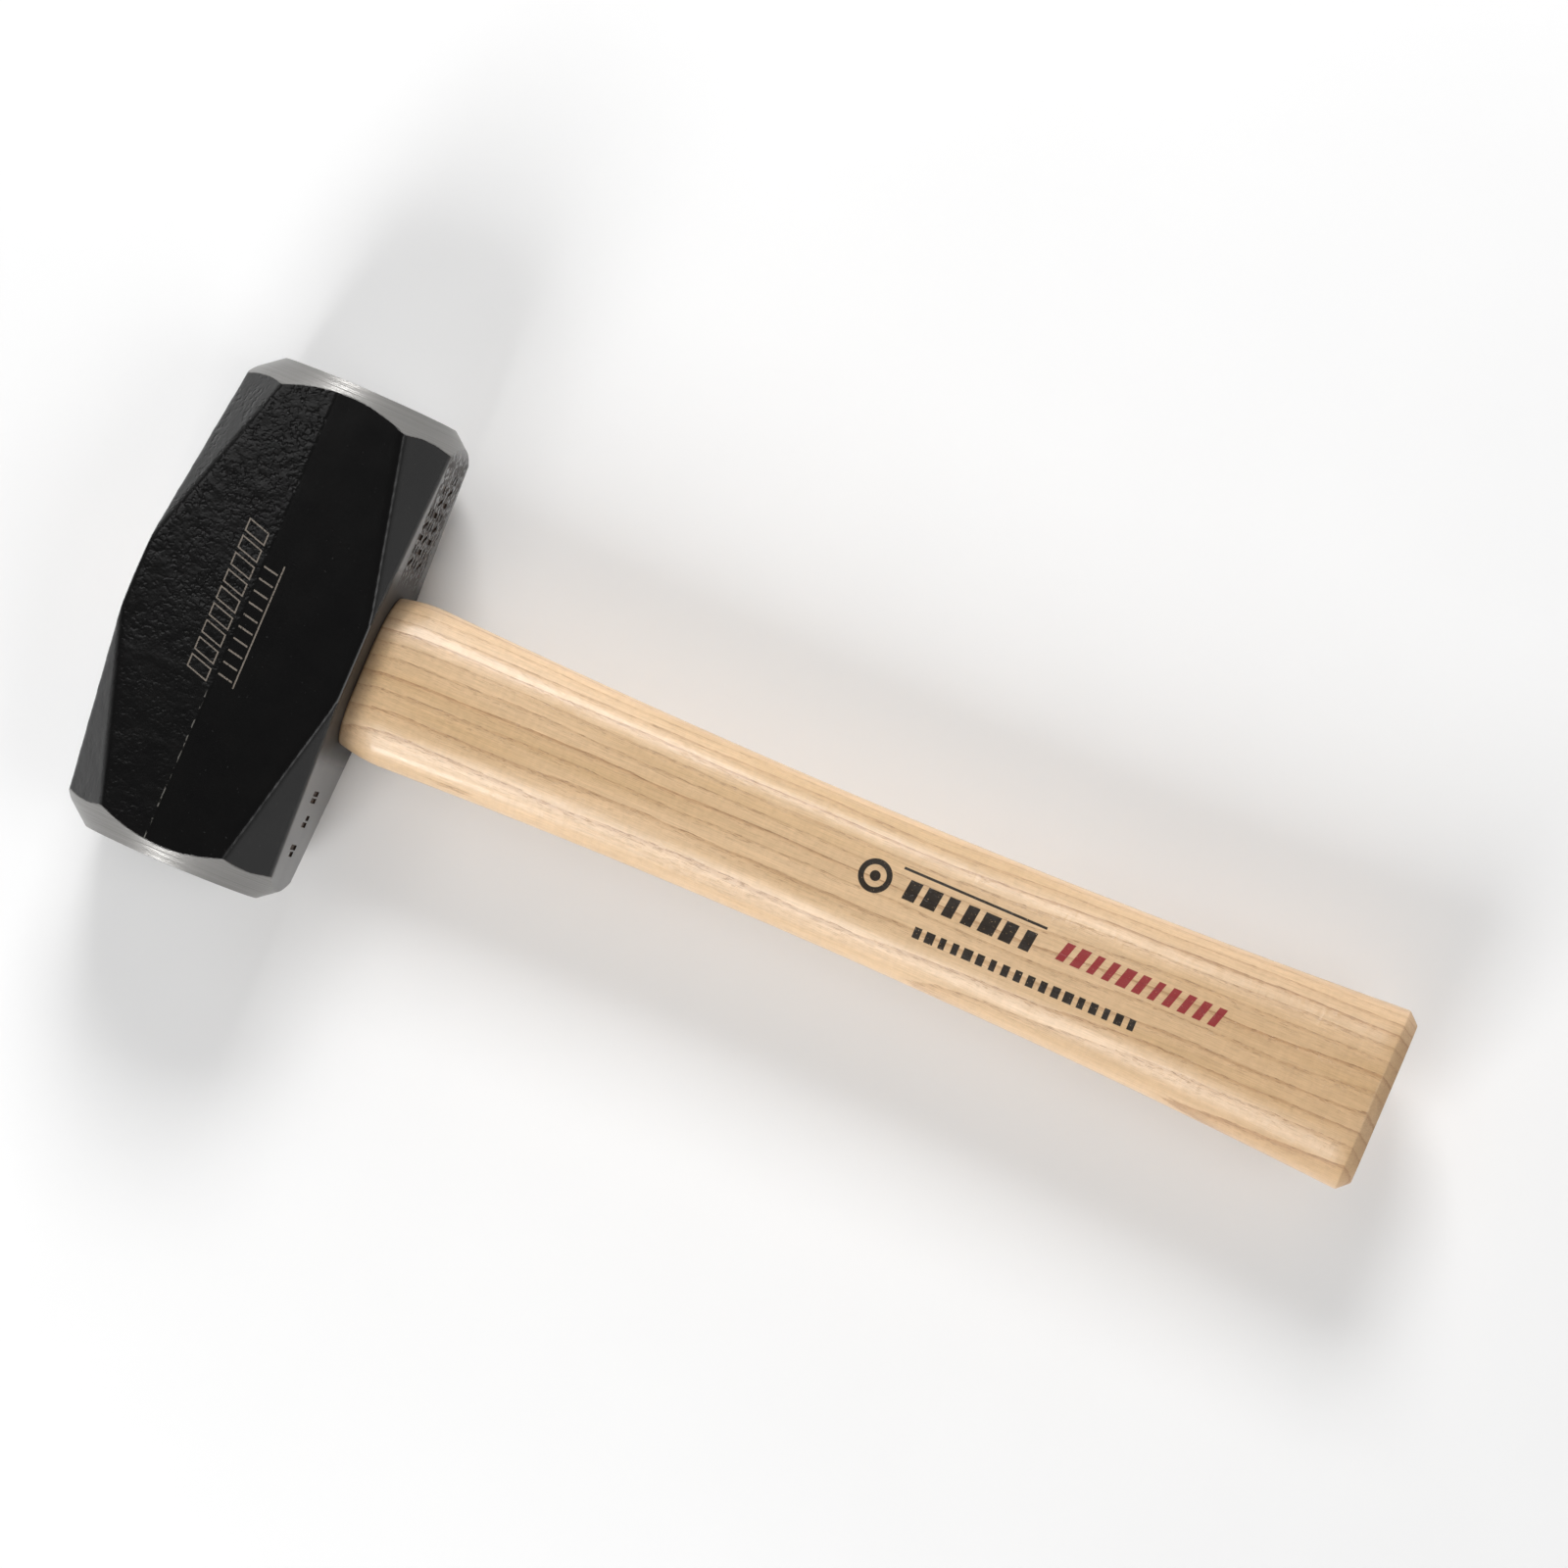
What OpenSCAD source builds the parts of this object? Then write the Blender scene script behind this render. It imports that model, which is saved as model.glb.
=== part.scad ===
// Short-handled sledgehammer: a forged double-faced head on a wedged wooden handle.
//
// It lies on one cheek. X runs along the handle from the head to the butt,
// Y along the head from one striking face to the other, and Z is up.
// The origin is on the lower cheek, under the crossing of the two centre lines.

/* [Head] */
// Distance between the crowns of the two striking faces
head_length = 105; // [88:1:126]
// Distance from the handle side to the eye side, at the striking ends
head_depth = 45; // [38:0.5:54]
// Distance between the two cheeks
head_thickness = 45; // [38:0.5:54]
// How far the eye side swells out between its ends and its middle
eye_swell = 4.1; // [1:0.1:6]
// Length of the rounded stretch in the middle of the eye side
swell_blend = 20; // [8:1:30]
// Width, on the cheek, of the corner facets where they reach the striking ends
facet_leg = 11; // [7:0.5:13]
// Distance from the middle of the head to where the corner facets start
facet_start = 4; // [0:0.5:12]

/* [Striking faces] */
// Diameter of each striking face
face_d = 38; // [30:0.5:44]
// Slope of the turned bevel, measured from the plane of the striking face
bevel_angle = 39; // [30:1:50]
// Height of the crown of each striking face
face_crown = 0.6; // [0.3:0.1:1.5]

/* [Eye] */
// Length of the eye's mouth, along the head
eye_l = 31.6; // [26.4:0.2:38]
// Width of the eye's mouth, across the cheeks
eye_w = 21.6; // [18:0.2:26]
// How much narrower the throat is than the mouth
eye_pinch = 1.4; // [0.2:0.1:3]
// Depth of the throat, from the handle side
throat_depth = 14; // [8:1:20]
// How much wider the eye is at the eye side than at its throat
eye_flare = 3; // [1:0.1:5]

/* [Handle] */
// Distance from the middle of the head to the butt end
handle_reach = 246.4; // [204:0.2:296]
// Distance from the middle of the head to the waist
waist_x = 117; // [90:1:142]
// Width at the waist
waist_w = 31; // [25:0.2:37.4]
// Width where the bevel at the butt starts
butt_w = 39; // [38:0.2:47]
// Thickness at the waist
waist_t = 23; // [19:0.5:27.6]
// Thickness where the bevel at the butt starts
butt_t = 27; // [22.5:0.5:33]
// Length of the bevel round the butt end
butt_bevel = 2.5; // [1:0.1:4]
// Ledge of the shoulder that seats on the head round the eye
shoulder_lip = 0.3; // [0.1:0.1:1]
// Length of the rounded shoulder next to the head
shoulder_run = 9; // [4:1:16]

/* [Wooden wedge] */
// Thickness where it is trimmed flush with the head
wood_wedge_t = 4.6; // [3:0.1:6]
// Thickness at its tip
wood_wedge_tip = 0.8; // [0.5:0.1:1.5]
// Depth to which it is driven
wood_wedge_depth = 30; // [24:1:37]

/* [Steel wedges] */
// Thickness where they are trimmed flush with the head
steel_wedge_t = 3; // [2:0.1:4]
// Thickness at their tips
steel_wedge_tip = 0.6; // [0.4:0.1:1]
// Width, across the wooden wedge
steel_wedge_w = 16; // [12:0.5:17]
// Depth to which they are driven
steel_wedge_depth = 22; // [16:1:27]
// Distance between their middles
steel_wedge_gap = 14; // [9:0.5:17]

/* [Hidden] */

steel = "#2a2a2d";
hickory = "#dcb98f";
wedge_wood = "#c79f70";
wedge_steel = "#8d9094";

// Height of the handle's centre line, halfway up the head
mid_z = head_thickness / 2;

// The head's flat handle side, and its eye side at the ends and in the middle
seat_x = head_depth / 2;
end_x = -head_depth / 2;
top_x = end_x - eye_swell;

// The eye side is two slopes joined by an arc
swell_angle = atan(eye_swell / (head_length / 2 - swell_blend / 4));
swell_r = swell_blend / 2 / sin(swell_angle);

// Each striking face is part of a sphere
crown_r = (pow(face_d / 2, 2) + pow(face_crown, 2)) / (2 * face_crown);

// Where the handle's section starts to close in for the bevel
butt_x = handle_reach - butt_bevel;

// Extra length on whatever cuts or is trimmed, so that it passes right through
past = 2;

// Rings along the shoulder and the grip, and steps round each half-round edge
shoulder_steps = 4;
grip_steps = 16;
edge_steps = 16;

// An oval bar along X with half-round edges. From x on, it is l by w at first,
// and every side moves out by slope for each millimetre of length.
module oval_bar(x, length, l, w, slope) {
    r = w / 2;
    r_end = r + slope * length;
    half_flat = (l - w) / 2;
    translate([x, 0, mid_z]) {
        for (y = [-half_flat, half_flat])
            translate([0, y, 0])
                rotate([0, 90, 0])
                    cylinder(h = length, r1 = r, r2 = r_end, $fn = 96);
        rotate([90, 0, 0])
            linear_extrude(2 * half_flat, center = true)
                polygon([[0, -r], [length, -r_end], [length, r_end], [0, r]]);
    }
}

// The same bar, growing from x towards -X
module oval_bar_back(x, length, l, w, slope) {
    mirror([1, 0, 0]) oval_bar(-x, length, l, w, slope);
}

// The eye opens from its throat a little to the handle side, and more to the
// eye side, where the wedges spread the handle's end. It cuts the head and
// makes the handle's end, so the two always fit.
module eye() {
    throat_x = seat_x - throat_depth;
    flare_depth = throat_x - top_x;
    l = eye_l - eye_pinch;
    w = eye_w - eye_pinch;
    oval_bar(throat_x, throat_depth + past, l, w, eye_pinch / 2 / throat_depth);
    oval_bar_back(throat_x, flare_depth + past, l, w, eye_flare / 2 / flare_depth);
}

// The head's outline in plan, from the eye side out to x on the handle side
module head_plan(x) {
    linear_extrude(head_thickness)
        polygon([
            [x, -head_length / 2],
            [x, head_length / 2],
            [end_x, head_length / 2],
            for (a = [1 : -0.25 : -1])
                [
                    top_x + swell_r * (1 - cos(a * swell_angle)),
                    swell_r * sin(a * swell_angle)
                ],
            [end_x, -head_length / 2]
        ]);
}

// What the lathe leaves of the ends: a cone runs back from each striking face
module turned_bevels() {
    r_face = face_d / 2 - past / tan(bevel_angle);
    y_face = head_length / 2 - face_crown + past;
    r_far = head_depth + head_thickness;
    y_far = y_face - (r_far - r_face) * tan(bevel_angle);
    translate([0, 0, mid_z])
        rotate([90, 0, 0])
            rotate_extrude($fn = 180)
                polygon([
                    [0, -y_face],
                    [r_face, -y_face],
                    [r_far, -y_far],
                    [r_far, y_far],
                    [r_face, y_face],
                    [0, y_face]
                ]);
}

// The crown of the striking face on side s, which is 1 or -1
module crown(s) {
    translate([0, s * (head_length / 2 - crown_r), mid_z]) sphere(r = crown_r, $fn = 180);
}

// Cuts the flat corner facet between the upper cheek and one side of the head,
// at the +Y end. x is that side's place in the middle of the head, and the side
// draws in by taper from there to the striking end.
module facet_cut(x, taper) {
    run = head_length / 2 - facet_start;
    tilt = atan((facet_leg + taper) / run / sqrt(2));
    size = head_length + head_thickness;
    translate([x, facet_start, head_thickness])
        rotate([0, -45, 0])
            rotate([0, 0, tilt])
                translate([0, -size / 2, -size / 2])
                    cube(size);
}

// The four facets of the +Y end
module end_facets() {
    for (upside = [0, 1])
        translate([0, 0, upside * head_thickness])
            mirror([0, 0, upside]) {
                facet_cut(seat_x, 0);
                mirror([1, 0, 0]) facet_cut(-top_x, eye_swell);
            }
}

// 0 at the waist and 1 at the butt, growing with the square of the distance
function flare(x) = pow((x - waist_x) / (butt_x - waist_x), 2);

// How far the shoulder still has to swell at x, from 1 at the head to 0
function shoulder(x) = pow(max(0, 1 - (x - seat_x) / shoulder_run), 1.5);

// Half of the grip's width and of its thickness at x
function half_w(x) =
    let (full = (waist_w + (butt_w - waist_w) * flare(x)) / 2)
    full + (eye_l / 2 + shoulder_lip - full) * shoulder(x);
function half_t(x) =
    let (full = (waist_t + (butt_t - waist_t) * flare(x)) / 2)
    full + (eye_w / 2 + shoulder_lip - full) * shoulder(x);

// A ring round the grip at x, half_w and half_t from the centre line: two flats
// joined by half circles, with every point moved in by inset
function grip_ring(x, inset = 0) =
    let (r = half_t(x) - inset, flat = half_w(x) - half_t(x))
    [
        for (side = [1, -1])
            for (a = [-90 : 180 / edge_steps : 90])
                [x, side * (flat + r * cos(a)), mid_z + side * r * sin(a)]
    ];

// The handle outside the head, swept through rings along its centre line
module grip() {
    shoulder_end = seat_x + shoulder_run;
    rings = [
        for (i = [0 : shoulder_steps - 1])
            grip_ring(seat_x + shoulder_run * i / shoulder_steps),
        for (i = [0 : grip_steps])
            grip_ring(shoulder_end + (butt_x - shoulder_end) * i / grip_steps),
        grip_ring(handle_reach, butt_bevel)
    ];
    n = len(rings[0]);
    last = len(rings) - 1;
    polyhedron(
        points = [for (ring = rings) each ring],
        faces = [
            [for (j = [0 : n - 1]) j],
            for (i = [0 : last - 1])
                for (j = [0 : n - 1])
                    let (a = i * n + j, b = i * n + (j + 1) % n)
                    each [[a, b + n, b], [a, a + n, b + n]],
            [for (j = [n - 1 : -1 : 0]) last * n + j]
        ]
    );
}

// What fills the eye, trimmed flush with the head's eye side
module eye_filling() {
    intersection() {
        eye();
        head_plan(seat_x + past);
    }
}

// A wedge in the eye, with its width along Y. It stands out of the head by past.
module wedge(t, tip, depth, width) {
    lean = (t - tip) / depth;
    blunt = t + past * lean;
    translate([0, 0, mid_z])
        rotate([90, 0, 0])
            linear_extrude(width, center = true)
                polygon([
                    [top_x - past, -blunt / 2],
                    [top_x + depth, -tip / 2],
                    [top_x + depth, tip / 2],
                    [top_x - past, blunt / 2]
                ]);
}

// The wooden wedge spreads the handle's end across the cheeks
module wood_wedge_blank() {
    wedge(wood_wedge_t, wood_wedge_tip, wood_wedge_depth, eye_l + eye_flare);
}

// A steel wedge is driven across the wooden one. side is 1 or -1.
module steel_wedge_blank(side) {
    translate([0, side * steel_wedge_gap / 2, mid_z])
        rotate([90, 0, 0])
            translate([0, 0, -mid_z])
                wedge(steel_wedge_t, steel_wedge_tip, steel_wedge_depth, steel_wedge_w);
}

module hammer_head() {
    color(steel)
        difference() {
            intersection() {
                head_plan(seat_x);
                turned_bevels();
                crown(1);
                crown(-1);
            }
            end_facets();
            mirror([0, 1, 0]) end_facets();
            eye();
        }
}

module handle() {
    color(hickory)
        difference() {
            union() {
                eye_filling();
                grip();
            }
            wood_wedge_blank();
            steel_wedge_blank(1);
            steel_wedge_blank(-1);
        }
}

module wooden_wedge() {
    color(wedge_wood)
        difference() {
            intersection() {
                eye_filling();
                wood_wedge_blank();
            }
            steel_wedge_blank(1);
            steel_wedge_blank(-1);
        }
}

module steel_wedge(side) {
    color(wedge_steel)
        intersection() {
            eye_filling();
            steel_wedge_blank(side);
        }
}

module steel_wedge_left() {
    steel_wedge(1);
}

module steel_wedge_right() {
    steel_wedge(-1);
}

hammer_head();
handle();
wooden_wedge();
steel_wedge_left();
steel_wedge_right();
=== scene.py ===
"""A short-handled sledgehammer lying on one cheek, finished round its CAD frame.

The head is forged, turned, punched for its eye, stamped and painted. The handle is
shaped to fit the eye and printed, the wedges follow, and then the studio and camera.
"""

import math

import bmesh
import bpy
from mathutils import Matrix, Vector, geometry, noise


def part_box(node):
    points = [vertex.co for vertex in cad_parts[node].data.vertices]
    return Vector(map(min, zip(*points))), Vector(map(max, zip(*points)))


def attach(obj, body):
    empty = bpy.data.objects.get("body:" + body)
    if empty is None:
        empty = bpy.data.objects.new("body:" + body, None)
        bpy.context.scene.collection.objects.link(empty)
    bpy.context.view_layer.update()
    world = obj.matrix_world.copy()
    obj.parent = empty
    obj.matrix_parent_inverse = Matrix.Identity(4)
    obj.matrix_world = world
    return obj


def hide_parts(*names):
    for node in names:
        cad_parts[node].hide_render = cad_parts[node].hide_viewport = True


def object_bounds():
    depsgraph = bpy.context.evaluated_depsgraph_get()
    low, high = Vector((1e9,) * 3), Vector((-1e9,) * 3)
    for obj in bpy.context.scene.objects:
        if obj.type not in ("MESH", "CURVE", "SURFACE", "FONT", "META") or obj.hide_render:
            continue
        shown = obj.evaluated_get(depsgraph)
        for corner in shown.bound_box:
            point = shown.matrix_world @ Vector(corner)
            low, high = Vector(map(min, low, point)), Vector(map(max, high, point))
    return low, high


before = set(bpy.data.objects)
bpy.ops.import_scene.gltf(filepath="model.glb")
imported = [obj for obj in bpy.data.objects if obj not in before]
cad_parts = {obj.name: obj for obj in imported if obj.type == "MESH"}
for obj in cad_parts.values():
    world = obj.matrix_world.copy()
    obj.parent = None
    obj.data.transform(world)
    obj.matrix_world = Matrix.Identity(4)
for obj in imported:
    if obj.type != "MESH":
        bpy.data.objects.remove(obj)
cad_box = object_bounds()

# Points closer together than this, in metres, are one point
weld = 1e-6

# ---------------------------------------------------------------------------
# The forging
# One billet of carbon steel, struck between two dies. The dies part along the
# middle of each cheek, so a cheek is a very low roof with its ridge there.
# ---------------------------------------------------------------------------

head_low, head_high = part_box("hammer_head")
half_length = head_high.y
seat_x = head_high.x
crest_x = head_low.x
mid_z = (head_low.z + head_high.z) / 2
half_thickness = (head_high.z - head_low.z) / 2

# The eye side: two slopes, joined by an arc over the middle
swell = 0.0041
swell_blend = 0.020
end_x = crest_x + swell
swell_angle = math.atan(swell / (half_length - swell_blend / 4))
swell_radius = swell_blend / 2 / math.sin(swell_angle)
apex_x = crest_x - swell_radius * (1 / math.cos(swell_angle) - 1)

facet_leg = 0.011
facet_start = 0.004
parting_x = -0.003
draft = math.radians(1.6)


def slice_off(bm, point, normal):
    """Cut away what lies on the normal's side of a plane, and close the cut."""
    everything = bm.verts[:] + bm.edges[:] + bm.faces[:]
    cut = bmesh.ops.bisect_plane(
        bm, geom=everything, plane_co=point, plane_no=normal, clear_outer=True
    )
    rim = [part for part in cut["geom_cut"] if isinstance(part, bmesh.types.BMEdge)]
    bmesh.ops.holes_fill(bm, edges=rim)
    bmesh.ops.remove_doubles(bm, verts=bm.verts, dist=weld)


def make_object(name, bm):
    """Turn a finished bmesh into an object that stands at the origin."""
    bmesh.ops.recalc_face_normals(bm, faces=bm.faces)
    mesh = bpy.data.meshes.new(name)
    bm.to_mesh(mesh)
    bm.free()
    made = bpy.data.objects.new(name, mesh)
    bpy.context.collection.objects.link(made)
    return made


def bake_modifiers(made):
    """Replace an object's mesh by what its modifiers make of it."""
    graph = bpy.context.evaluated_depsgraph_get()
    mesh = bpy.data.meshes.new_from_object(made.evaluated_get(graph))
    made.modifiers.clear()
    made.data = mesh


def combine(made, operation, tool):
    """Intersect an object with a tool object, or cut it with the tool, and drop the tool."""
    boolean = made.modifiers.new("combine", "BOOLEAN")
    boolean.operation = operation
    boolean.solver = "EXACT"
    boolean.object = tool
    bake_modifiers(made)
    bpy.data.objects.remove(tool)
    bm = bmesh.new()
    bm.from_mesh(made.data)
    bmesh.ops.remove_doubles(bm, verts=bm.verts, dist=weld)
    bmesh.ops.dissolve_degenerate(bm, edges=bm.edges, dist=weld)
    bm.to_mesh(made.data)
    bm.free()


bm = bmesh.new()
block_size = Vector((seat_x - apex_x, 2 * half_length, 2 * half_thickness))
block_middle = Vector(((seat_x + apex_x) / 2, 0, mid_z))
bmesh.ops.create_cube(
    bm, size=1, matrix=Matrix.Translation(block_middle) @ Matrix.Diagonal((*block_size, 1))
)
for end in (1, -1):
    slice_off(bm, (apex_x, 0, mid_z), (-math.cos(swell_angle), end * math.sin(swell_angle), 0))
crest = [
    edge for edge in bm.edges if all(abs(v.co.y) < weld and v.co.x < 0 for v in edge.verts)
]
bmesh.ops.bevel(
    bm,
    geom=crest,
    offset=swell_blend / 2,
    segments=10,
    profile=0.5,
    affect="EDGES",
    material=-1,
)
for up in (1, -1):
    ridge = (parting_x, 0, mid_z + up * half_thickness)
    for side in (1, -1):
        slice_off(bm, ridge, (side * math.sin(draft), 0, up * math.cos(draft)))
for up in (1, -1):
    cheek_z = mid_z + up * half_thickness
    for end in (1, -1):
        for middle_x, end_side_x in ((seat_x, seat_x), (crest_x, end_x)):
            inward = -math.copysign(facet_leg, end_side_x)
            start = Vector((middle_x, end * facet_start, cheek_z))
            on_cheek = Vector((end_side_x + inward, end * half_length, cheek_z))
            on_side = Vector((end_side_x, end * half_length, cheek_z - up * facet_leg))
            normal = geometry.normal(start, on_cheek, on_side)
            if normal.z * up < 0:
                normal.negate()
            slice_off(bm, start, normal)
head = make_object("forged_head", bm)

# Hot steel fills the dies with soft edges, so the block is remeshed and relaxed
remesh = head.modifiers.new("soft edges", "REMESH")
remesh.mode = "VOXEL"
remesh.voxel_size = 0.00062
relax = head.modifiers.new("relax", "SMOOTH")
relax.factor = 0.5
relax.iterations = 5
bake_modifiers(head)

# It cools a little uneven, and is rougher where the scale was struck into it
hollow_depth = 0.00004
hollow_rate = 140
scale_depth = 0.00003
scale_rate = 420
bm = bmesh.new()
bm.from_mesh(head.data)
bm.normal_update()
for vert in bm.verts:
    sink = hollow_depth * (1 + noise.noise(vert.co * hollow_rate))
    if vert.co.x < parting_x:
        sink += scale_depth * (1 + noise.noise(vert.co * scale_rate))
    vert.co -= vert.normal * sink
bm.to_mesh(head.data)
bm.free()

# ---------------------------------------------------------------------------
# The turned ends
# The forging is spun in a lathe, which crowns both striking faces and cuts a
# cone behind each, scalloping the flats and facets where it runs into them.
# ---------------------------------------------------------------------------

face_radius = 0.019
face_crown = 0.0006
bevel_slope = math.tan(math.radians(39))
rim_y = half_length - face_crown
blank_radius = 0.040
crown_radius = (face_radius**2 + face_crown**2) / (2 * face_crown)
crown_steps = 8
outline = []
for step in range(crown_steps + 1):
    radius = face_radius * step / crown_steps
    outline.append((radius, half_length - crown_radius + math.sqrt(crown_radius**2 - radius**2)))
outline.append((blank_radius, rim_y - (blank_radius - face_radius) * bevel_slope))
outline += [(radius, -y) for radius, y in reversed(outline)]
bm = bmesh.new()
profile = [bm.verts.new((radius, y, mid_z)) for radius, y in outline]
links = [bm.edges.new(pair) for pair in zip(profile, profile[1:])]
bmesh.ops.spin(
    bm,
    geom=profile + links,
    cent=(0, 0, mid_z),
    axis=(0, 1, 0),
    angle=math.tau,
    steps=240,
    use_merge=True,
)
bmesh.ops.remove_doubles(bm, verts=bm.verts, dist=weld)
combine(head, "INTERSECT", make_object("lathe_envelope", bm))

# ---------------------------------------------------------------------------
# The eye
# An oval hole punched through the head while it is hot. It narrows to a throat
# and then opens towards the eye side, so that a wedged handle can't come out.
# ---------------------------------------------------------------------------

eye_half_length = 0.0158
eye_half_width = 0.0108
eye_pinch = 0.0007
eye_flare = 0.0015
throat_depth = 0.014
throat_x = seat_x - throat_depth
pinch_slope = eye_pinch / throat_depth
flare_slope = eye_flare / (throat_x - crest_x)
punch_overrun = 0.003


def oval(turn, half_length, half_width, fullness):
    """A point on an oval round the X axis: two flats joined by half circles, or, as
    fullness goes to 1, a rounder superellipse of the same length and width."""
    c, s = math.cos(turn), math.sin(turn)
    y = math.copysign(half_length - half_width, c) + half_width * c
    z = half_width * s
    full_y = math.copysign(half_length * abs(c) ** 0.8, c)
    full_z = math.copysign(half_width * abs(s) ** 0.8, s)
    return y + (full_y - y) * fullness, z + (full_z - z) * fullness


def sweep(bm, stations, segments=96):
    """Carry an oval ring through stations of (x, half length, half width, fullness).
    x may be a function of y, for a ring that lies on a curved surface. Both ends are
    closed. The edges of each ring are handed back."""
    turn = bm.verts.layers.float.new("turn")
    verts = bmesh.ops.create_circle(bm, segments=segments, radius=1)["verts"]
    for index, vert in enumerate(verts):
        vert[turn] = math.tau * index / segments
    rings = [bm.edges[:]]
    for station, (x, half_l, half_w, fullness) in enumerate(stations):
        if station:
            grown = bmesh.ops.extrude_edge_only(bm, edges=rings[-1])["geom"]
            verts = [part for part in grown if isinstance(part, bmesh.types.BMVert)]
            edges = [part for part in grown if isinstance(part, bmesh.types.BMEdge)]
            rings.append([edge for edge in edges if set(edge.verts) <= set(verts)])
        for vert in verts:
            y, z = oval(vert[turn], half_l, half_w, fullness)
            vert.co = (x(y) if callable(x) else x, y, mid_z + z)
    bmesh.ops.holes_fill(bm, edges=rings[0] + rings[-1])
    bm.verts.layers.float.remove(turn)
    return rings


bm = bmesh.new()
sweep(
    bm,
    [
        (x, eye_half_length + grow, eye_half_width + grow, 0)
        for x, grow in (
            (seat_x + punch_overrun, pinch_slope * punch_overrun),
            (throat_x, -eye_pinch),
            (crest_x - punch_overrun, -eye_pinch + eye_flare + flare_slope * punch_overrun),
        )
    ],
)
combine(head, "DIFFERENCE", make_object("eye_punch", bm))

# ---------------------------------------------------------------------------
# The stamps
# Rows of plain strokes punched cold into the side next to the handle: a block of
# them near one face and a few more near the other.
# ---------------------------------------------------------------------------

stamp_depth = 0.00045
stamp_stroke = 0.0011
block_start = 0.0235
block_pitch = 0.0027

# Each stroke is its place along the head, its rise, its length and its lean
stamps = [
    (-0.0275, 0.0025, 0.0058, 0),
    (-0.0290, 0.0025, 0.0058, 0),
    (-0.0328, 0.0005, 0.0034, 0),
    (-0.0343, 0.0015, 0.0050, 0),
    (-0.0393, 0.0025, 0.0064, 0),
    (-0.0408, 0.0020, 0.0036, 0),
]
for rise, count in ((0.0090, 5), (0.0030, 7), (-0.0035, 8)):
    for step in range(count):
        y = block_start + block_pitch * step
        kind = (2 * step + count) % 3
        if kind == 0:
            stamps.append((y, rise, 0.0046, 0))
        elif kind == 1:
            stamps += [(y, rise + 0.0016, 0.0018, 90), (y, rise - 0.0016, 0.0018, 90)]
        else:
            stamps.append((y, rise, 0.0042, 20))
bm = bmesh.new()
for y, rise, length, lean in stamps:
    turn = Matrix.Rotation(math.radians(lean), 4, "X")
    place = Matrix.Translation((seat_x, y, mid_z + rise))
    shape = Matrix.Diagonal((2 * stamp_depth, stamp_stroke, length, 1))
    bmesh.ops.create_cube(bm, size=1, matrix=place @ turn @ shape)
combine(head, "DIFFERENCE", make_object("stamp_punch", bm))
head.data.shade_smooth()
head.data.set_sharp_from_angle(angle=math.radians(28))

# ---------------------------------------------------------------------------
# The head's finish
# Black enamel, dipped over the scaly skin of the forging and baked. The turning
# comes after it, so the faces and bevels are bare steel with a ragged paint edge.
# ---------------------------------------------------------------------------

# Millimetres in a metre, for the materials
mm = 1000


class Field:
    """A number, a colour or a vector that changes over a surface. Arithmetic on it
    adds Math nodes to its finish."""

    def __init__(self, finish, socket):
        self.finish = finish
        self.socket = socket

    def maths(self, operation, *values):
        inputs = dict(enumerate((self, *values)))
        return self.finish.node("ShaderNodeMath", {"operation": operation}, inputs)

    def __add__(self, other):
        return self.maths("ADD", other)

    def __sub__(self, other):
        return self.maths("SUBTRACT", other)

    def __rsub__(self, other):
        return self.maths("MULTIPLY", -1.0).maths("ADD", other)

    def __mul__(self, other):
        return self.maths("MULTIPLY", other)

    def __truediv__(self, other):
        return self.maths("DIVIDE", other)

    def __pow__(self, other):
        return self.maths("POWER", other)

    def __mod__(self, other):
        return self.maths("FLOORED_MODULO", other)

    def __abs__(self):
        return self.maths("ABSOLUTE")

    __radd__ = __add__

    def above(self, edge, soft=1e-4):
        """1 where this is above an edge and 0 where it is below, over a soft step."""
        sockets = {"Value": self, "From Min": edge - soft, "From Max": edge + soft}
        return self.finish.node(
            "ShaderNodeMapRange", {"interpolation_type": "SMOOTHSTEP"}, sockets
        )

    def between(self, low, high, soft):
        """1 from low to high and 0 outside, over a soft step at each end."""
        return self.above(low, soft) * (1 - self.above(high, soft))


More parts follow.
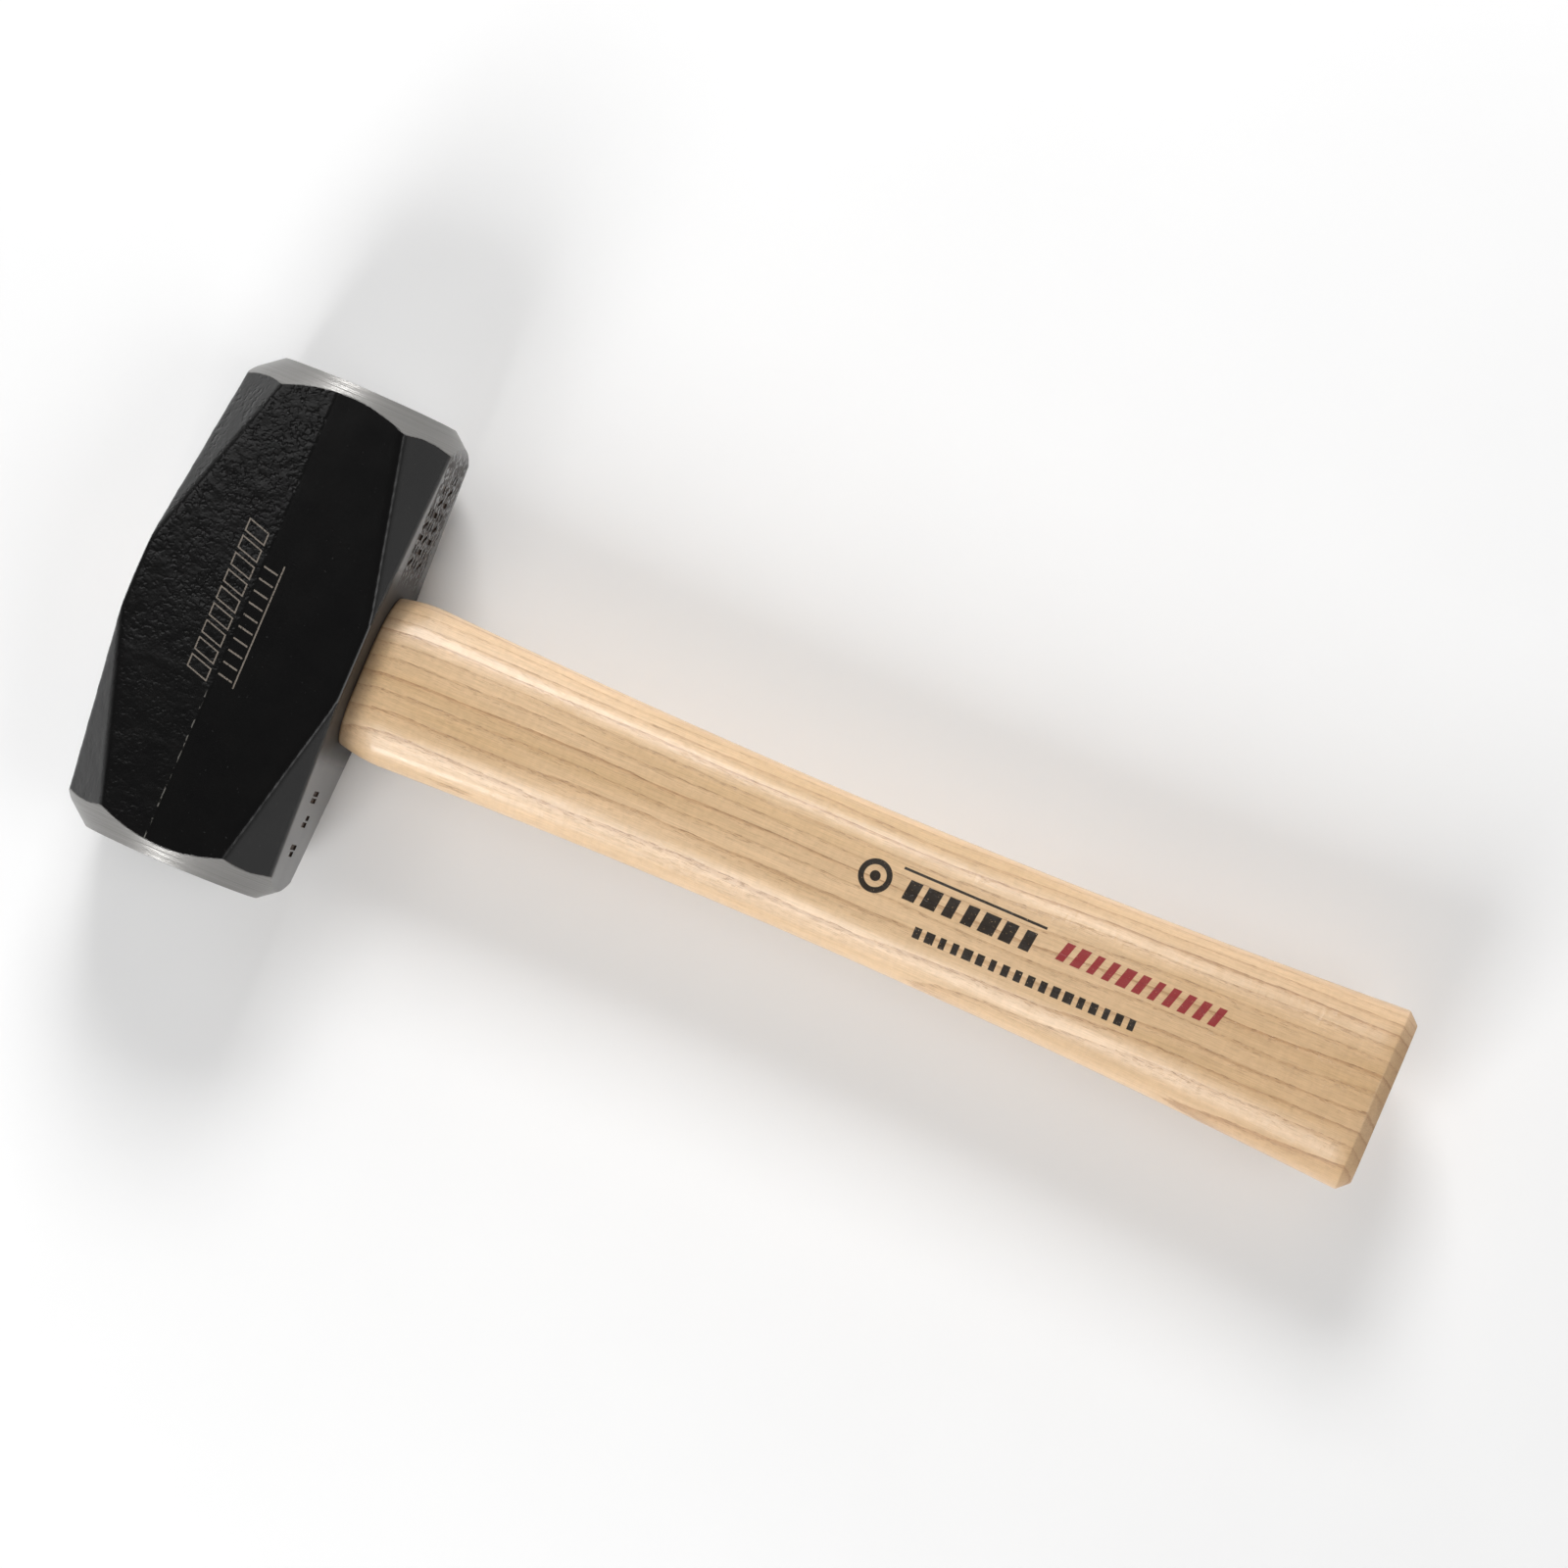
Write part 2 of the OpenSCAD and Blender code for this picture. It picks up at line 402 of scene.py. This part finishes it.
class Finish:
    """One material: a Principled shader and the nodes that feed it. Lengths inside it
    are millimetres in the hammer's own frame."""

    def __init__(self, name, **settings):
        self.material = bpy.data.materials.new(name)
        self.material.use_nodes = True
        self.tree = self.material.node_tree
        self.shader = self.tree.nodes["Principled BSDF"]
        for socket, value in settings.items():
            self.shader.inputs[socket.replace("_", " ")].default_value = value
        metres = self.node("ShaderNodeTexCoord", out="Object")
        self.place = self.node(
            "ShaderNodeVectorMath", {"operation": "SCALE"}, {0: metres, "Scale": mm}
        )
        self.x, self.y, self.z = (
            self.node("ShaderNodeSeparateXYZ", {}, {0: self.place}, axis) for axis in "XYZ"
        )

    def node(self, kind, settings=None, sockets=None, out=0):
        """Add a node: its settings go in first, then the values or links of its sockets."""
        made = self.tree.nodes.new(kind)
        for name, value in (settings or {}).items():
            if name == "stops":
                ramp = made.color_ramp.elements
                while len(ramp) < len(value):
                    ramp.new(0.5)
                for stop, (position, colour) in zip(ramp, value):
                    stop.position, stop.color = position, (*colour, 1)
            else:
                setattr(made, name, value)
        for name, value in (sockets or {}).items():
            self.feed(made.inputs[name], value)
        return Field(self, made.outputs[out])

    def feed(self, socket, value):
        if isinstance(value, Field):
            self.tree.links.new(value.socket, socket)
        else:
            socket.default_value = value

    def point(self, x, y, z):
        return self.node("ShaderNodeCombineXYZ", {}, {0: x, 1: y, 2: z})

    def grain(self, size, stretch=(1, 1, 1), detail=2.0, rough=0.5, at=None, seed=0.0):
        """Noise from 0 to 1 with features about size millimetres across, drawn out
        along the axes by stretch."""
        scaled = self.node(
            "ShaderNodeMapping",
            {},
            {
                "Vector": at or self.place,
                "Location": (seed, seed * 1.7, -seed),
                "Scale": tuple(1 / (size * pull) for pull in stretch),
            },
        )
        sockets = {"Vector": scaled, "Scale": 1.0, "Detail": detail, "Roughness": rough}
        return self.node("ShaderNodeTexNoise", {}, sockets, "Fac")

    def mix(self, share, first, second):
        """A colour that goes from first to second as share goes from 0 to 1."""
        first, second = (
            c if isinstance(c, Field) else (*c, 1) for c in (first, second)
        )
        return self.node(
            "ShaderNodeMix",
            {"data_type": "RGBA", "clamp_factor": True},
            {"Factor": share, 6: first, 7: second},
            2,
        )

    def relief(self, height, depth):
        """A bump that rises by depth, in millimetres, where height goes from 0 to 1."""
        sockets = {"Height": height, "Strength": 1.0, "Distance": depth / mm}
        return self.node("ShaderNodeBump", {}, sockets)

    def set(self, **sockets):
        for name, value in sockets.items():
            self.feed(self.shader.inputs[name.replace("_", " ")], value)


def bars(finish, along, across, start, pitch, count, width, low, high, slant=0.0, vary=0.0):
    """A row of marks that starts at start: count of them, pitch apart. Each fills a
    share of its pitch, less by up to vary, between two heights across the row."""
    soft = 0.06
    run = (along - across * slant - start) / pitch
    aside = abs(run % 1.0 - 0.5)
    if vary:
        number = {"W": run.maths("FLOOR")}
        size = finish.node("ShaderNodeTexWhiteNoise", {"noise_dimensions": "1D"}, number, "Value")
        aside = aside / (1 - size * vary)
    inside = (1 - aside.above(width / 2, soft / pitch)) * run.between(0.0, count, 0.01)
    return inside * across.between(low, high, soft)


enamel = Finish("black_enamel_and_turned_steel", IOR=1.5)
x, y = enamel.x, enamel.y
across_z = enamel.z - mid_z * mm
radius = (x * x + across_z * across_z) ** 0.5
below_seat = seat_x * mm - x
off_parting = x - parting_x * mm
cheek_zone = half_thickness * mm - 1.5

# Bare where the lathe has cut: on the crowned faces, and on the cones behind them
outward = abs(y) - rim_y * mm
cone = outward + (radius - face_radius * mm) * bevel_slope
chipping = (enamel.grain(0.6) - 0.5) * 0.25 + (enamel.grain(3.0) - 0.5) * 0.3
on_face = outward.above(-0.02, 0.01)
bare = (cone + chipping).above(-0.14, 0.04).maths("MAXIMUM", on_face)

# The seam that the dies left is dressed off, and shows through the paint in dashes
seam_dashes = enamel.grain(2.2, (0.3, 1, 1), detail=3.0, seed=4.0).above(0.5, 0.04)
seam = (1 - abs(off_parting).above(0.12, 0.08)) * seam_dashes
seam = seam * (0 - y).above(17.0, 1.0) * abs(across_z).above(cheek_zone, 0.5)

# One die was rougher than the other, and left small dents on its side of the seam
rough_side = (0.4 - off_parting).above(0.0, 0.4)
dents = enamel.grain(0.95, detail=1.0, seed=9.0).above(0.59, 0.13)
clusters = enamel.grain(5.0, seed=15.0).above(0.48, 0.12)
dents = dents * (0.15 + clusters * 0.85) * (0.25 + y.above(0.0, 25.0) * 0.75)
sags = enamel.grain(2.6, seed=2.0)
peel = enamel.grain(0.9, detail=1.0, seed=5.0)
specks = enamel.grain(0.6, seed=7.0).above(0.75, 0.03)

# Turning marks run round the cones and the faces, and fade in and out on the way
groove = enamel.point(radius, outward * 0.8, 0.0)
arc = enamel.point(radius * 3, x, across_z)
turning = enamel.grain(0.42, rough=0.7, at=groove)
turning = turning + (enamel.grain(1.0, (1, 30, 30), at=arc) - 0.5) * 0.5

cloud = enamel.grain(6.0, detail=3.0)
paint = enamel.mix(cloud, (0.0032, 0.0032, 0.0034), (0.006, 0.0058, 0.0056))
paint = enamel.mix(specks * (1 - rough_side) * 0.4, paint, (0.05, 0.05, 0.05))

# Marks etched through the paint, in place of a maker's: outlined leaning bars, and a
# row of fine ticks on a rule beside them
outer = bars(enamel, y, 0 - x, -16.6, 3.7, 9, 0.76, 3.9, 8.9, slant=0.3)
inner = bars(enamel, y, 0 - x, -16.6, 3.7, 9, 0.6, 4.2, 8.6, slant=0.3)
ticks = bars(enamel, y, 0 - x, -14.2, 2.6, 10, 0.14, -1.0, 2.3, slant=0.2)
rule = y.between(-14.2, 12.5, 0.05) * x.between(1.45, 1.75, 0.05)
bitten = enamel.grain(0.4, seed=3.0).above(0.34, 0.1)
etched = (outer * (1 - inner) + ticks + rule) * across_z.above(cheek_zone, 0.5) * bitten

# Dirt and rust sit in the stamps, and grime lies round them and next to the handle
on_side = below_seat.between(-0.5, 0.16, 0.03)
in_stamp = below_seat.between(0.16, 0.9, 0.03) * abs(y).above(19.0, 0.5)
in_stamp = in_stamp * (13.0 - abs(across_z)).above(0.0) * (1 - bare)
rust = enamel.grain(1.2, detail=3.0, seed=19.0)
grime = on_side * y.between(18.0, 47.0, 2.5)
grime = grime * (12.0 - abs(across_z)).above(0.0, 1.0) * rust.above(0.46, 0.08)
near_eye = on_side * (19.5 - abs(y)).above(0.0, 3.0)

steel = enamel.mix(turning * 0.7, (0.165, 0.161, 0.154), (0.31, 0.304, 0.294))
worn = seam * 0.55
colour = enamel.mix(worn, paint, (0.20, 0.19, 0.17))
colour = enamel.mix(etched, colour, (0.17, 0.145, 0.12))
rusty = enamel.mix(rust, (0.012, 0.009, 0.007), (0.09, 0.05, 0.03))
colour = enamel.mix(in_stamp * 0.9, colour, rusty)
colour = enamel.mix(grime * 0.5, colour, (0.035, 0.022, 0.015))
scuffed = (worn + etched).maths("MINIMUM", 1.0)
dirty = (in_stamp + grime + near_eye).maths("MINIMUM", 1.0)
painted = 0.25 + peel * (0.03 + rough_side * 0.13) + rough_side * (sags * 0.6 - dents * 0.65)
painted = painted + specks * 0.05 - etched * 0.08
height = painted * (1 - bare) + turning * bare * 1.1
enamel.set(
    Base_Color=enamel.mix(bare, colour, steel),
    Metallic=bare,
    Roughness=bare * 0.16 + 0.17 + scuffed * 0.3 + dirty * 0.4 + peel * 0.04,
    Normal=enamel.relief(height, 0.1),
)
head.data.materials.clear()
head.data.materials.append(enamel.material)
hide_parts("hammer_head")
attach(head, "root")

# ---------------------------------------------------------------------------
# The handle
# Hickory, turned and sanded to a waisted oval and driven into the eye up to its
# shoulder. It flares to the butt, where it is sawn square and bevelled all round.
# ---------------------------------------------------------------------------

handle_low, handle_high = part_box("handle")
handle_end = handle_high.x
butt_bevel = 0.0025
butt_x = handle_end - butt_bevel
butt_half_width = handle_high.y
butt_half_thickness = (handle_high.z - handle_low.z) / 2
waist_x = 0.117
waist_half_width = 0.0155
waist_half_thickness = 0.0115
shoulder_lip = 0.0003
shoulder_run = 0.009
sawn_below = 0.00025
fit_gap = 0.00006


def eye_side(y):
    """Where the head's eye side lies at y, along the handle."""
    if abs(y) < swell_blend / 2:
        return crest_x + swell_radius - math.sqrt(swell_radius**2 - y * y)
    return end_x - (half_length - abs(y)) * math.tan(swell_angle)


def grip_station(x, inset=0.0):
    """The grip's section at x: a parabola each way from the waist, drawn in to the
    eye's size over the shoulder."""
    flare = ((x - waist_x) / (butt_x - waist_x)) ** 2
    shoulder = max(0.0, 1 - (x - seat_x) / shoulder_run) ** 1.5
    half_l = waist_half_width + (butt_half_width - waist_half_width) * flare
    half_w = waist_half_thickness + (butt_half_thickness - waist_half_thickness) * flare
    half_l += (eye_half_length + shoulder_lip - half_l) * shoulder
    half_w += (eye_half_width + shoulder_lip - half_w) * shoulder
    return (x, half_l - inset, half_w - inset, 1 - shoulder)


def tenon_station(x):
    """The tenon's section at x, a hair inside the eye."""
    grow = -eye_pinch - fit_gap
    if x > throat_x:
        grow += pinch_slope * (x - throat_x)
    else:
        grow += flare_slope * (throat_x - x)
    return (x, eye_half_length + grow, eye_half_width + grow, 0)


# From the sawn top of the tenon, through the shoulder, to the middle of the butt
tenon_start = crest_x + 0.002
grip_start = seat_x + shoulder_run
end_steps = 7
grip_steps = 63
stations = []
_, top_l, top_w, _ = tenon_station(crest_x)
for share in (0.1, 0.3, 0.5, 0.7, 0.85, 0.95, 1.0):
    stations.append((lambda y: eye_side(y) + sawn_below, top_l * share, top_w * share, 0))
for step in range(1, end_steps + 1):
    stations.append(tenon_station(tenon_start + (seat_x - tenon_start) * step / end_steps))
for step in range(end_steps):
    stations.append(grip_station(seat_x + shoulder_run * (step / end_steps) ** 1.5))
for step in range(grip_steps + 1):
    stations.append(grip_station(grip_start + (butt_x - grip_start) * step / grip_steps))
stations.append(grip_station(handle_end, butt_bevel))
_, end_l, end_w, _ = stations[-1]
for share in (0.95, 0.8, 0.6, 0.4, 0.2):
    stations.append((handle_end, end_l * share, end_w * share, 1))
bm = bmesh.new()
rings = sweep(bm, stations, segments=112)
butt_edges = rings[-7] + rings[-6]
bmesh.ops.bevel(
    bm,
    geom=butt_edges,
    offset=0.0003,
    segments=2,
    profile=0.5,
    affect="EDGES",
    material=-1,
)
handle = make_object("hickory_handle", bm)


def slot_for(wedge_name):
    """A tool with the shape of a driven wedge, standing a little out of the wood."""
    stand_out = 0.0008
    wedge_top = crest_x + 0.0012
    bm = bmesh.new()
    bm.from_mesh(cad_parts[wedge_name].data)
    bmesh.ops.remove_doubles(bm, verts=bm.verts, dist=weld)
    crest = [vert for vert in bm.verts if vert.co.x < wedge_top]
    bmesh.ops.translate(bm, verts=crest, vec=(-stand_out, 0, 0))
    return make_object("slot_tool", bm)


for wedge_name in ("steel_wedge_left", "steel_wedge_right", "wooden_wedge"):
    combine(handle, "DIFFERENCE", slot_for(wedge_name))
handle.data.shade_smooth()
handle.data.set_sharp_from_angle(angle=math.radians(35))


def hickory(name, centre, pale, straw, vein, seed=0.0):
    """A hickory finish. Growth rings are cylinders round a far-off centre, each with a
    brown porous line on its early side, and the fibres run along X."""
    ring_pitch = 2.8
    wood = Finish(name, IOR=1.5, Coat_Roughness=0.12)
    drift = (wood.grain(70.0, (1.5, 0.35, 0.35), seed=seed) - 0.5) * 7.0
    waver = (wood.grain(9.0, (3.5, 1, 1), seed=seed + 3) - 0.5) * 0.7
    fray = (wood.grain(0.45, (16, 1, 1), detail=3.0, seed=seed + 4) - 0.5) * 0.55
    from_y = wood.y - centre[0]
    from_z = wood.z - centre[1]
    rings = (from_y * from_y + from_z * from_z) ** 0.5 + wood.x * 0.012 + drift + waver + fray
    through = (rings / ring_pitch) % 1.0
    number = {"W": (rings / ring_pitch).maths("FLOOR") + seed}
    strength = wood.node("ShaderNodeTexWhiteNoise", {"noise_dimensions": "1D"}, number, "Value")

    fibre = wood.grain(0.2, (40, 1, 1), detail=3.0, rough=0.65, seed=seed + 5)
    streak = wood.grain(0.9, (45, 1, 1), seed=seed + 8)
    cloud = wood.grain(8.0, (9, 1, 1), seed=seed + 11).above(0.5, 0.2)
    figure = wood.grain(1.3, (0.8, 2, 2), seed=seed + 17)
    broken = wood.grain(0.35, (14, 1, 1), seed=seed + 15).above(0.37, 0.14)
    early = (1 - through) ** 2.5
    line = (1 - through.above(0.14, 0.12)) * through.above(0.0, 0.05)
    pores = wood.grain(0.15, (12, 1, 1), detail=0.0, seed=seed + 13).above(0.66, 0.04)
    pores = pores * (early * 0.9 + 0.1)

    tone = wood.mix(cloud * 0.75 + streak * 0.25, straw, pale)
    tone = wood.mix(early * (0.12 + strength * 0.34), tone, vein)
    tone = wood.mix(line * broken * (0.26 + strength * 0.4), tone, tuple(c * 0.72 for c in vein))
    tone = wood.mix(pores * 0.6, tone, tuple(c * 0.55 for c in vein))
    shade = 1 + (fibre - 0.5) * 0.55 + (streak - 0.5) * 0.22 + (figure - 0.5) * 0.2
    scale = {"operation": "SCALE"}
    wood.tone = wood.node("ShaderNodeVectorMath", scale, {0: tone, "Scale": shade})
    wood.height = fibre * 0.3 - pores * 0.8 - line * broken * 0.25
    wood.early = early
    return wood


grip = hickory(
    "lacquered_hickory",
    centre=(150.0, -70.0),
    pale=(0.68, 0.48, 0.295),
    straw=(0.575, 0.385, 0.205),
    vein=(0.45, 0.24, 0.11),
)
x, y = grip.x, grip.y

# Cut ends drink the lacquer and go darker, the billet is browner towards its butt, and
# the wood is darkened with painted shade over the last few millimetres next to the head
outwards = grip.node("ShaderNodeTexCoord", out="Normal")
facing = grip.node("ShaderNodeSeparateXYZ", {}, {0: outwards}, "X")
end_grain = abs(facing).above(0.5, 0.3)
tone = grip.mix(end_grain * 0.3, grip.tone, (0.33, 0.19, 0.095))
tone = grip.mix(x.above(190.0, 60.0) * 0.14, tone, (0.42, 0.21, 0.08))
# Painted shade where the grip meets the head: its colour darkens towards the head's side
painted_shade_at_head = 1 - (x + grip.grain(4.0, detail=3.0, seed=21) * 4.0).above(seat_x * mm + 4.0, 3.0)
tone = grip.mix(painted_shade_at_head * 0.6, tone, (0.16, 0.10, 0.06))

# Generic marks take the place of a maker's print: a badge and blocks in black, a row
# of slanted bars in red, and a rule of small dashes below them
upper = grip.z.above(mid_z * mm, 0.5)
badge_radius = ((x - 134.8) ** 2.0 + (y - 2.1) ** 2.0) ** 0.5
badge = badge_radius.between(2.3, 3.5, 0.06) + (1 - badge_radius.above(1.1, 0.06))
blocks = bars(grip, x, y, 140.6, 4.2, 7, 0.8, 0.0, 4.2, slant=0.12, vary=0.35)
rule = x.between(139.6, 170.8, 0.06) * y.between(5.6, 6.15, 0.05)
dashes = bars(grip, x, y, 145.7, 2.75, 18, 0.74, -6.4, -4.1, vary=0.4)
black_print = (badge + blocks + rule + dashes) * upper
red_print = bars(grip, x, y, 173.5, 3.3, 11, 0.68, 0.9, 5.0, slant=0.3, vary=0.35) * upper
patchy = grip.grain(0.35, detail=3.0, seed=31).above(0.28, 0.08) * 0.97
tone = grip.mix(black_print * patchy, tone, (0.010, 0.009, 0.009))
tone = grip.mix(red_print * patchy, tone, (0.27, 0.028, 0.034))
ripples = grip.grain(0.75, (1, 5, 5), seed=51) * grip.grain(7.0, seed=53).above(0.45, 0.1)
lacquer = grip.grain(1.6, (3, 1, 1), seed=55)
grip.set(
    Base_Color=tone,
    Roughness=grip.grain(1.4, (2, 1, 1), detail=3.0, seed=41) * 0.16 + 0.25 + end_grain * 0.3,
    Coat_Weight=(1 - end_grain) * 0.1,
    Normal=grip.relief(grip.height + ripples * 0.9 + lacquer * 0.8, 0.05),
)
handle.data.materials.clear()
handle.data.materials.append(grip.material)
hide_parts("handle")
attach(handle, "root")

# ---------------------------------------------------------------------------
# The wedges
# A wooden wedge spreads the tenon across the cheeks, and two steel ones lock it
# by spreading it along the head. All are ground off level with the eye side.
# ---------------------------------------------------------------------------

wedge = hickory(
    "wedge_wood",
    centre=(-60.0, 140.0),
    pale=(0.55, 0.38, 0.22),
    straw=(0.44, 0.28, 0.15),
    vein=(0.26, 0.14, 0.07),
    seed=60.0,
)
wedge.set(
    Base_Color=wedge.mix(0.3, wedge.tone, (0.22, 0.12, 0.06)),
    Roughness=0.6 + wedge.early * 0.1,
    Normal=wedge.relief(wedge.height, 0.08),
)
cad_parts["wooden_wedge"].data.materials.clear()
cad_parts["wooden_wedge"].data.materials.append(wedge.material)

spur = Finish("ground_mild_steel", Metallic=1.0)
scratches = spur.grain(0.12, (1, 1, 25), detail=3.0)
rust = spur.grain(2.0, detail=4.0, rough=0.65, seed=3.0).above(0.58, 0.1)
ground = spur.mix(scratches, (0.16, 0.158, 0.155), (0.30, 0.295, 0.29))
spur.set(
    Base_Color=spur.mix(rust * 0.6, ground, (0.10, 0.055, 0.03)),
    Roughness=scratches * 0.25 + 0.25 + rust * 0.3,
    Normal=spur.relief(scratches, 0.03),
)
for side in ("left", "right"):
    steel_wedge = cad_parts[f"steel_wedge_{side}"]
    steel_wedge.data.materials.clear()
    steel_wedge.data.materials.append(spur.material)

# ---------------------------------------------------------------------------
# The studio
# A pale sheet under the hammer. Each side has a soft box and a small low light, one
# box hangs over the head and one past the butt, and the ceiling is dark for the enamel.
# ---------------------------------------------------------------------------

sheet_gap = 0.0002
bm = bmesh.new()
bmesh.ops.create_grid(bm, x_segments=8, y_segments=8, size=4)
sheet = make_object("paper_sheet", bm)
sheet.location.z = cad_box[0].z - sheet_gap
paper = Finish("white_paper", Roughness=0.9)
paper.set(Base_Color=paper.mix(paper.grain(40.0), (0.86, 0.86, 0.86), (0.88, 0.88, 0.88)))
sheet.data.materials.append(paper.material)


def soft_box(name, place, aim, size, radiance):
    """An area light at a place, facing aim, as bright all over as radiance says."""
    light = bpy.data.lights.new(name, "AREA")
    light.shape = "RECTANGLE"
    light.size, light.size_y = size
    light.energy = radiance * math.pi * size[0] * size[1]
    lamp = bpy.data.objects.new(name, light)
    bpy.context.collection.objects.link(lamp)
    lamp.location = place
    lamp.rotation_euler = (Vector(aim) - Vector(place)).to_track_quat("-Z", "Y").to_euler()


middle = (cad_box[0] + cad_box[1]) / 2
soft_box("left_box", (-0.18, 0.95, 0.80), (0.07, 0, 0), (0.5, 0.42), 15.5)
soft_box("right_box", (-0.07, -0.95, 0.70), (0.07, 0, 0), (0.5, 0.6), 9.0)
soft_box("left_strip", (-0.22, 0.80, 0.10), (0, 0, 0.03), (0.14, 0.15), 36.0)
soft_box("right_strip", (-0.10, -0.80, 0.10), (0, 0, 0.03), (0.14, 0.15), 28.0)
soft_box("head_box", (-0.50, 0.34, 1.25), (-0.50, 0.34, 0), (0.54, 0.54), 1.05)
soft_box("butt_box", (0.95, 0.0, 1.15), middle, (0.6, 0.6), 2.6)

scene = bpy.context.scene
scene.view_settings.view_transform = "Standard"
world = bpy.data.worlds.new("dark_ceiling")
scene.world = world
world.use_nodes = True
sky = world.node_tree
direction = sky.nodes.new("ShaderNodeTexCoord")
split = sky.nodes.new("ShaderNodeSeparateXYZ")
sky.links.new(direction.outputs["Generated"], split.inputs[0])
fade = sky.nodes.new("ShaderNodeValToRGB")
fade.color_ramp.elements[0].position = 0.05
fade.color_ramp.elements[0].color = (0.78, 0.78, 0.78, 1)
fade.color_ramp.elements[1].position = 0.8
fade.color_ramp.elements[1].color = (0.02, 0.02, 0.02, 1)
sky.links.new(split.outputs["Z"], fade.inputs[0])
sky.links.new(fade.outputs[0], sky.nodes["Background"].inputs["Color"])

# ---------------------------------------------------------------------------
# The camera
# It hangs over the grip on a long lens, looks a little towards the head, and is
# turned so that the handle runs down to the right.
# ---------------------------------------------------------------------------

lens_data = bpy.data.cameras.new("camera")
lens_data.sensor_width = 36
lens_data.lens = 150.7
lens_data.clip_start = 0.01
camera = bpy.data.objects.new("camera", lens_data)
bpy.context.collection.objects.link(camera)
camera.location = (0.2361, 0.0032, mid_z + 1.3266)
sight = (Vector((0.1095, 0.0119, mid_z)) - camera.location).normalized()
level = sight.cross(Vector((0, 1, 0))).normalized()
roll = math.radians(-23.16)
tilt = Matrix.Rotation(roll, 3, sight)
right = tilt @ level
camera.rotation_euler = Matrix((right, right.cross(sight), -sight)).transposed().to_euler()
scene.camera = camera
